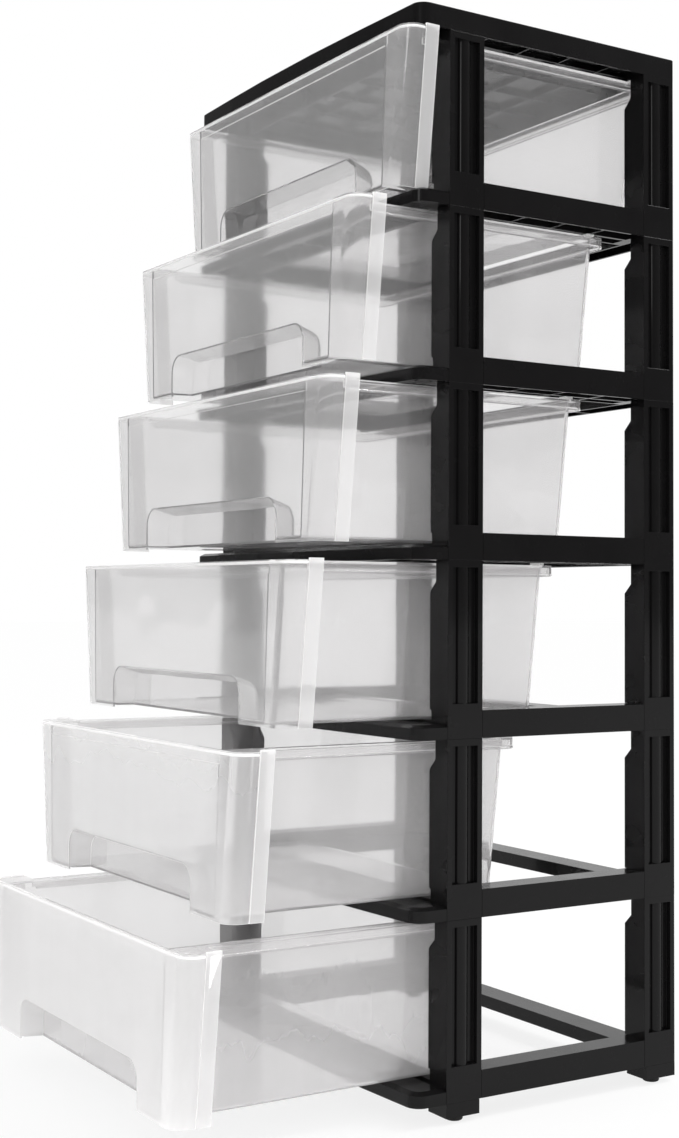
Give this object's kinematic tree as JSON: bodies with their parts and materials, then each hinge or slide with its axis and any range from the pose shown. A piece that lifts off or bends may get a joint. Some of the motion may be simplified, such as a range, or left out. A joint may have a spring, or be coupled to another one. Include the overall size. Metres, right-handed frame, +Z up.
{
  "type": "plastic drawer tower",
  "caption": "Tall free-standing plastic tower of clear sliding drawers in a black knock-down frame, for sorting craft supplies and small parts.",
  "frame": {"origin": "on the floor, under the middle of the tower's outline with its drawers standing open as pictured", "axes": "+Z up; -Y is the front, the way the drawers open; +X is the tower's right-hand side seen from the front of the drawers when looking along +Y"},
  "size_m": [0.412, 0.499, 0.937],
  "materials": {
    "frame_plastic": "satin black injection-moulded plastic",
    "glide_plastic": "soft black, matte",
    "clear_plastic": "slightly frosted clear plastic, glossy outside"
  },
  "bodies": {
    "frame": {"cover": "frame_plastic", "ring_1": "frame_plastic", "ring_2": "frame_plastic", "ring_3": "frame_plastic", "ring_4": "frame_plastic", "ring_5": "frame_plastic", "ring_6": "frame_plastic", "post_1_front_left": "frame_plastic", "post_1_front_right": "frame_plastic", "post_1_back_left": "frame_plastic", "post_1_back_right": "frame_plastic", "post_2_front_left": "frame_plastic", "post_2_front_right": "frame_plastic", "post_2_back_left": "frame_plastic", "post_2_back_right": "frame_plastic", "post_3_front_left": "frame_plastic", "post_3_front_right": "frame_plastic", "post_3_back_left": "frame_plastic", "post_3_back_right": "frame_plastic", "post_4_front_left": "frame_plastic", "post_4_front_right": "frame_plastic", "post_4_back_left": "frame_plastic", "post_4_back_right": "frame_plastic", "post_5_front_left": "frame_plastic", "post_5_front_right": "frame_plastic", "post_5_back_left": "frame_plastic", "post_5_back_right": "frame_plastic", "post_6_front_left": "frame_plastic", "post_6_front_right": "frame_plastic", "post_6_back_left": "frame_plastic", "post_6_back_right": "frame_plastic", "foot_front_left": "frame_plastic", "foot_front_right": "frame_plastic", "foot_back_left": "frame_plastic", "foot_back_right": "frame_plastic", "glide_front_left": "glide_plastic", "glide_front_right": "glide_plastic", "glide_back_left": "glide_plastic", "glide_back_right": "glide_plastic"},
    "drawer_1": {"drawer_1": "clear_plastic"},
    "drawer_2": {"drawer_2": "clear_plastic"},
    "drawer_3": {"drawer_3": "clear_plastic"},
    "drawer_4": {"drawer_4": "clear_plastic"},
    "drawer_5": {"drawer_5": "clear_plastic"},
    "drawer_6": {"drawer_6": "clear_plastic"}
  },
  "joints": [
    {"name": "drawer_1_slide", "type": "slide", "parent": "frame", "child": "drawer_1", "axis": [0, -1, 0], "range_m": [-0.014, 0.204]},
    {"name": "drawer_2_slide", "type": "slide", "parent": "frame", "child": "drawer_2", "axis": [0, -1, 0], "range_m": [-0.066, 0.152]},
    {"name": "drawer_3_slide", "type": "slide", "parent": "frame", "child": "drawer_3", "axis": [0, -1, 0], "range_m": [-0.091, 0.127]},
    {"name": "drawer_4_slide", "type": "slide", "parent": "frame", "child": "drawer_4", "axis": [0, -1, 0], "range_m": [-0.124, 0.094]},
    {"name": "drawer_5_slide", "type": "slide", "parent": "frame", "child": "drawer_5", "axis": [0, -1, 0], "range_m": [-0.167, 0.051]},
    {"name": "drawer_6_slide", "type": "slide", "parent": "frame", "child": "drawer_6", "axis": [0, -1, 0], "range_m": [-0.212, 0.006]}
  ]
}
